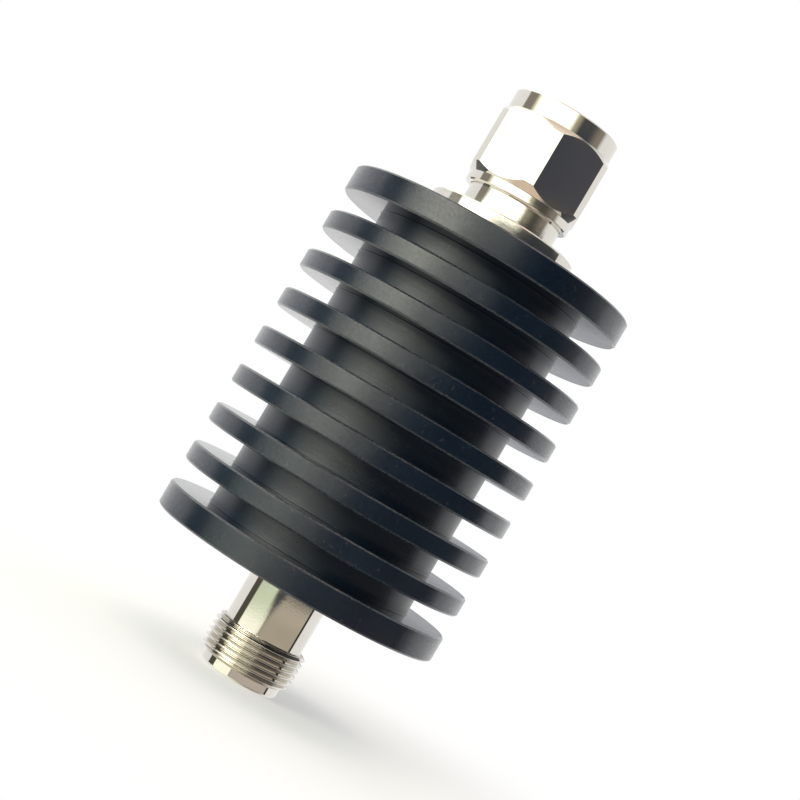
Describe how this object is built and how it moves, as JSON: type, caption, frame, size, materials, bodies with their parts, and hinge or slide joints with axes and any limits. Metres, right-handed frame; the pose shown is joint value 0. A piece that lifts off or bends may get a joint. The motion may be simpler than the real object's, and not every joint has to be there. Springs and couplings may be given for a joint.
{
  "type": "coaxial rf attenuator",
  "caption": "In-line coaxial power attenuator: black finned round heat sink with a threaded coaxial jack at one end and a plug with a free-turning hex coupling nut at the other.",
  "frame": {"origin": "centre of the jack's end face, which is the lowest point of the part", "axes": "+Z along the coaxial axis from the jack to the plug; +X and +Y square to it, with the joint face of the inner carrier in the XZ plane"},
  "size_m": [0.05, 0.05, 0.1034],
  "materials": {
    "black_anodised": "satin black anodised, fine turned",
    "nickel_plate": "bright nickel plate on brass",
    "white_bronze_plate": "white bronze plate, satin",
    "bead_plastic": "waxy white fluoropolymer",
    "gold_plate": "gold plate",
    "gasket_rubber": "matt silicone rubber",
    "spring_bronze": "bare spring bronze",
    "bare_aluminium": "bare milled aluminium",
    "screw_steel": "bare steel",
    "chip_ceramic": "matt white ceramic",
    "silver_plate": "silver plate on copper"
  },
  "bodies": {
    "attenuator": {"heat_sink": "black_anodised", "plug_body": "nickel_plate", "plug_outer_contact": "white_bronze_plate", "plug_insulator": "bead_plastic", "plug_pin": "gold_plate", "plug_gasket": "gasket_rubber", "retaining_ring": "spring_bronze", "jack_body": "nickel_plate", "jack_insulator": "bead_plastic", "jack_contact": "gold_plate", "carrier_base": "bare_aluminium", "carrier_cover": "bare_aluminium", "carrier_screws": "screw_steel", "attenuator_chip": "chip_ceramic", "chip_cover": "chip_ceramic", "input_tab": "silver_plate", "output_tab": "silver_plate"},
    "nut": {"coupling_nut": "nickel_plate"}
  },
  "joints": [
    {"name": "nut_spin", "type": "hinge", "parent": "attenuator", "child": "nut", "pos_m": [0, 0, 0.095], "axis": [0, 0, 1], "continuous": true}
  ]
}
